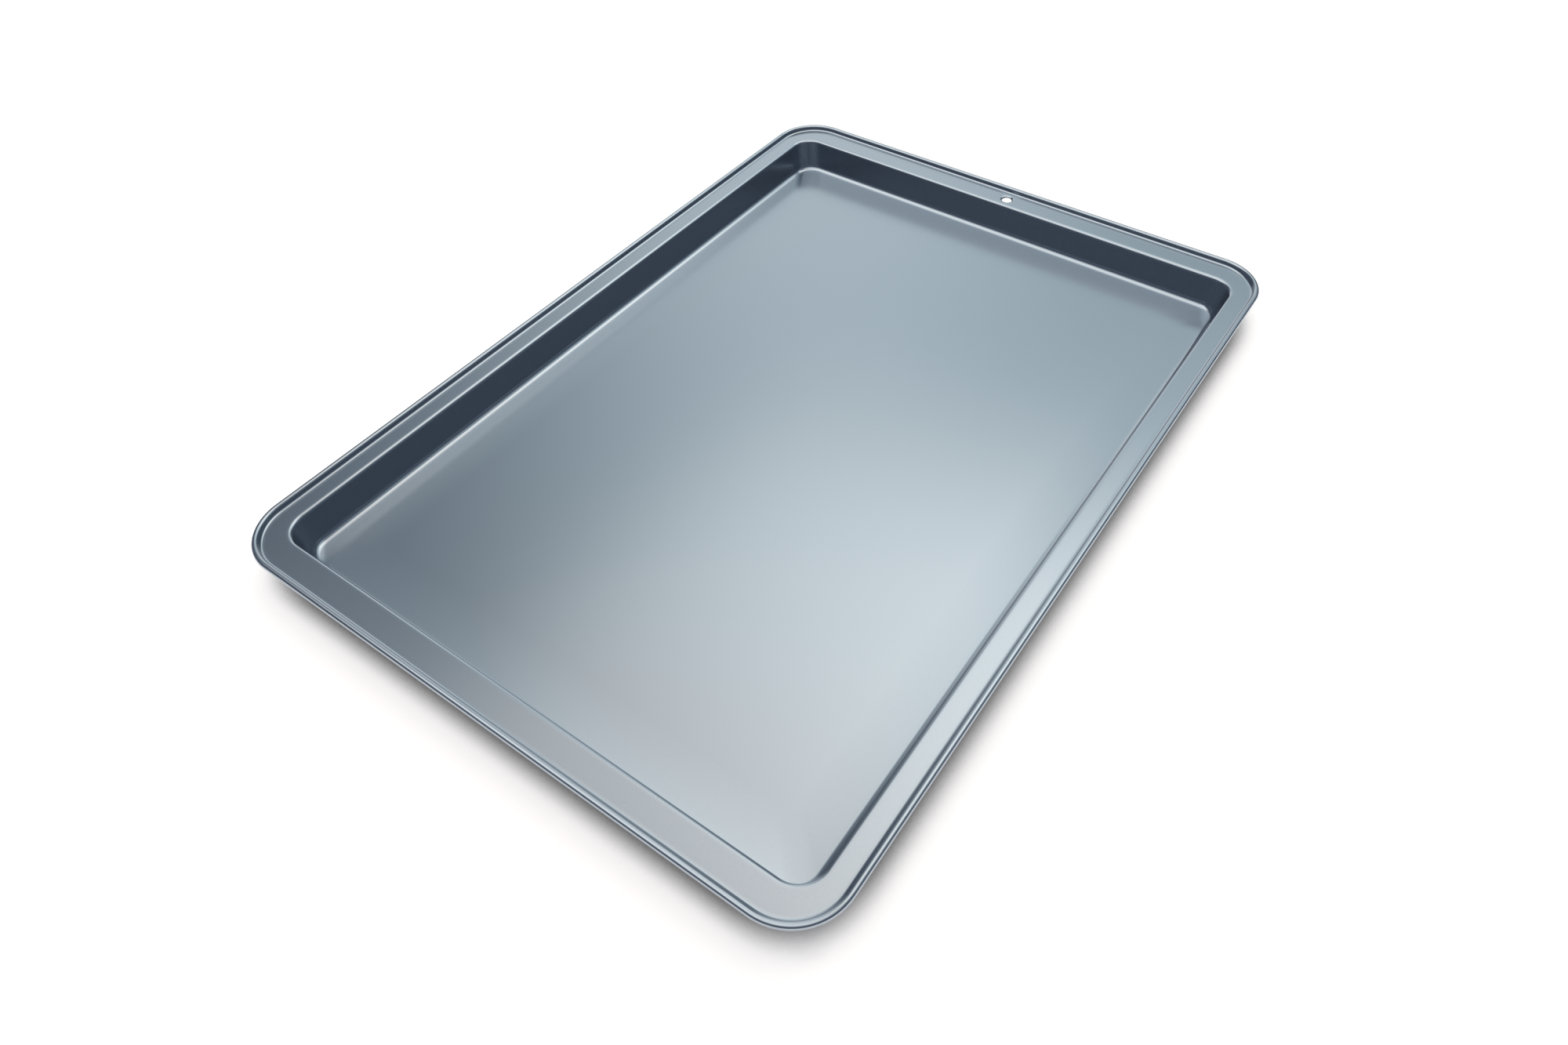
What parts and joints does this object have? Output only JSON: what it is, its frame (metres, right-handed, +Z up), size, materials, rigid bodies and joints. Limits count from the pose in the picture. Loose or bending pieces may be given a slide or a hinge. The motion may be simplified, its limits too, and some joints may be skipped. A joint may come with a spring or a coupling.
{
  "type": "cookie sheet",
  "caption": "Shallow rectangular baking tray in blue-grey coated steel, with a flat flange, a raised curled edge over a wire and a hang hole in one short side.",
  "frame": {"origin": "centre of the floor's underside, on the surface that the tray rests on", "axes": "+X across the tray, +Y along it towards the end with the hang hole, +Z up out of the open side"},
  "size_m": [0.302, 0.43, 0.0208],
  "materials": {
    "nonstick_coating": "semi-gloss blue-grey non-stick coating with a metallic sheen and a fine orange peel",
    "wire_steel": "drawn steel wire, bare"
  },
  "bodies": {
    "root": {"baking_tray": "nonstick_coating", "rim_wire": "wire_steel"}
  },
  "joints": []
}
